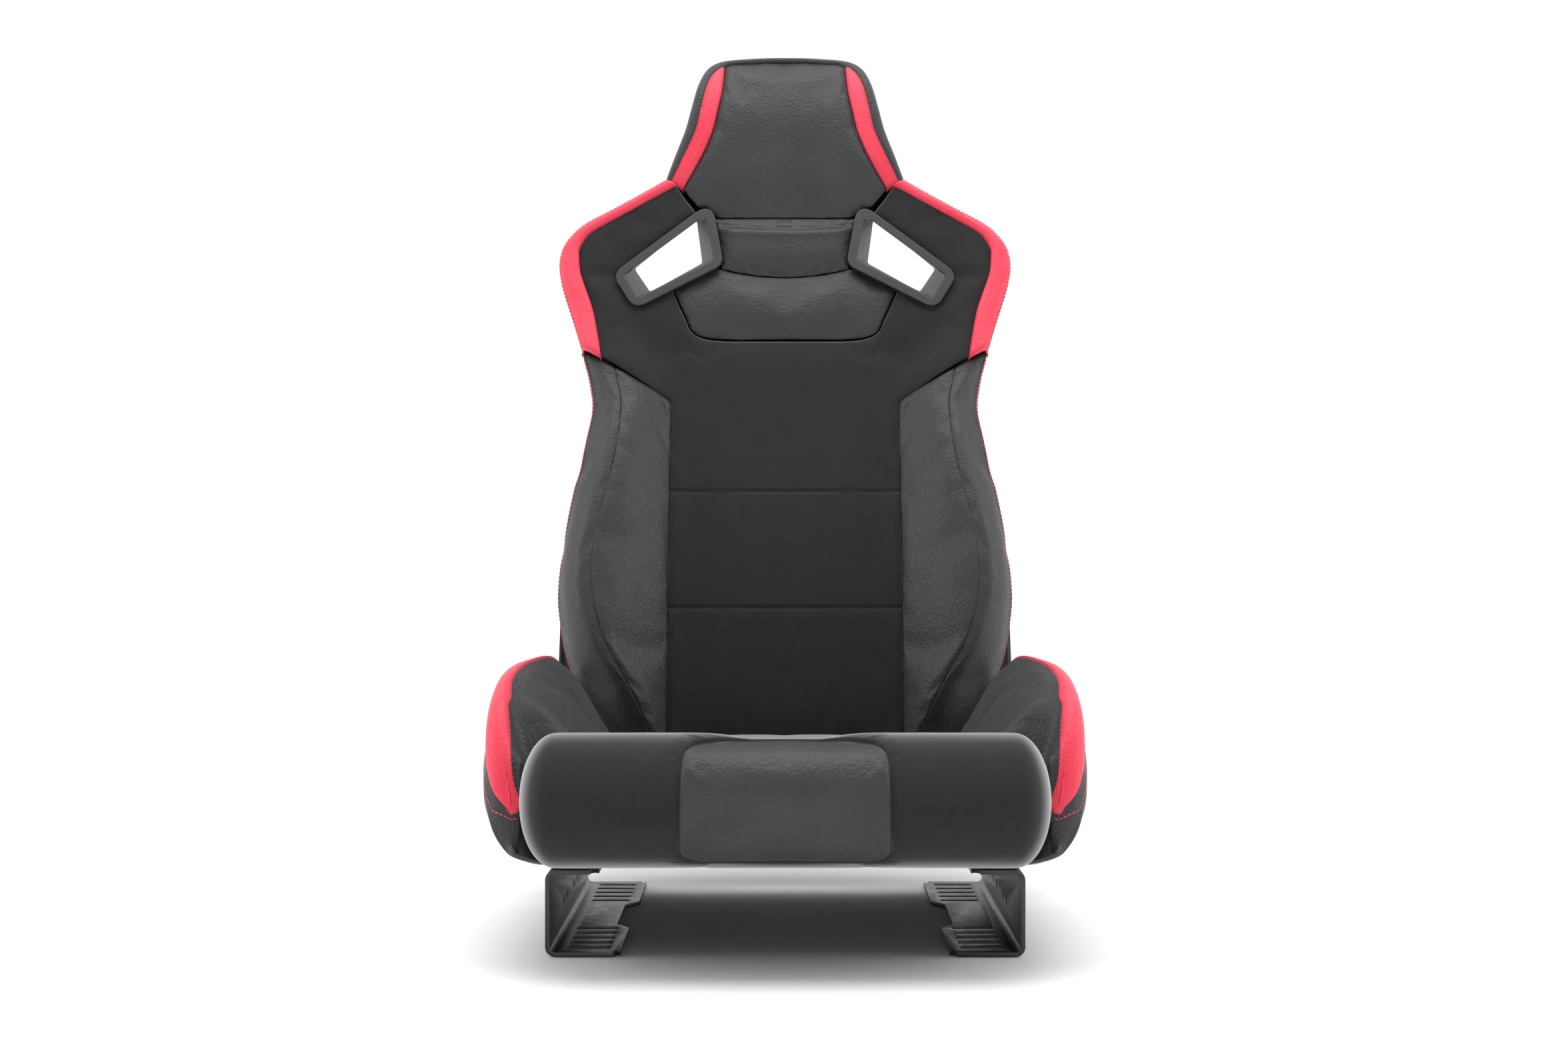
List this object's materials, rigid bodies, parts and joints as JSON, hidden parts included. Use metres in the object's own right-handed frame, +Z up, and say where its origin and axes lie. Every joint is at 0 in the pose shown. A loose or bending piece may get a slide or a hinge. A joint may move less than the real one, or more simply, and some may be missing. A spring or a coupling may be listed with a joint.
{
  "type": "reclining bucket seat on side brackets",
  "caption": "Reclining sport bucket seat with high side bolsters, harness openings and red leather trims, on slotted steel side brackets.",
  "frame": {"origin": "on the floor, midway between the two brackets and midway along them", "axes": "+X to the right seen from the front, the seat faces -Y, +Z up"},
  "size_m": [0.5386, 0.7499, 0.9289],
  "materials": {
    "fabric": "woven, matte",
    "black_leather": "soft sheen",
    "red_leather": "fine grain, soft sheen",
    "black_plastic": "satin",
    "black_steel": "satin powder coat",
    "zinc_steel": "zinc plated"
  },
  "bodies": {
    "base": {"bracket_left": "black_steel", "bracket_right": "black_steel", "seat_bolts": "black_steel", "weld_nuts": "zinc_steel", "seat_spacers": "zinc_steel", "side_rail_left": "black_steel", "side_rail_right": "black_steel", "mid_cross_tube": "black_steel", "rear_cross_tube": "black_steel", "front_tube": "black_steel", "front_arm_left": "black_steel", "front_arm_right": "black_steel", "base_springs": "zinc_steel", "under_cover": "black_plastic", "seat_cushion": "fabric", "thigh_roll": "fabric", "roll_panel": "black_leather", "wing_left": "black_leather", "wing_right": "black_leather", "wing_trim_left": "red_leather", "wing_trim_right": "red_leather", "recliner_plate_left": "zinc_steel", "recliner_plate_right": "zinc_steel", "fixed_disc_left": "zinc_steel", "fixed_disc_right": "zinc_steel", "recliner_cover_left": "black_plastic", "recliner_cover_right": "black_plastic"},
    "backrest": {"recliner_arm_left": "zinc_steel", "recliner_arm_right": "zinc_steel", "moving_disc_left": "zinc_steel", "moving_disc_right": "zinc_steel", "arm_bolts": "zinc_steel", "arm_cover_left": "black_plastic", "arm_cover_right": "black_plastic", "back_hoop": "black_steel", "back_cross_bars": "black_steel", "back_springs": "zinc_steel", "centre_pad": "fabric", "bolster_left": "black_leather", "bolster_right": "black_leather", "shoulder_pad_left": "fabric", "shoulder_pad_right": "fabric", "badge_panel": "black_leather", "neck_pad": "black_leather", "head_pad": "black_leather", "shoulder_trim_left": "red_leather", "shoulder_trim_right": "red_leather", "head_trim_left": "red_leather", "head_trim_right": "red_leather", "front_bezel_left": "black_plastic", "front_bezel_right": "black_plastic", "rear_bezel_left": "black_plastic", "rear_bezel_right": "black_plastic", "upper_shell": "black_plastic", "lower_shell": "black_plastic"},
    "release": {"release_shaft": "zinc_steel", "release_lever_left": "black_plastic", "release_lever_right": "black_plastic", "lever_screws": "zinc_steel"}
  },
  "joints": [
    {"name": "recline", "type": "hinge", "parent": "base", "child": "backrest", "pos_m": [0, 0.205, 0.17], "axis": [-1, 0, 0], "range_deg": [-25, 60]},
    {"name": "release", "type": "hinge", "parent": "base", "child": "release", "pos_m": [0, 0.205, 0.17], "axis": [-1, 0, 0], "range_deg": [0, 25], "stiffness_Nm_per_rad": 3, "springref_deg": -14.32}
  ]
}
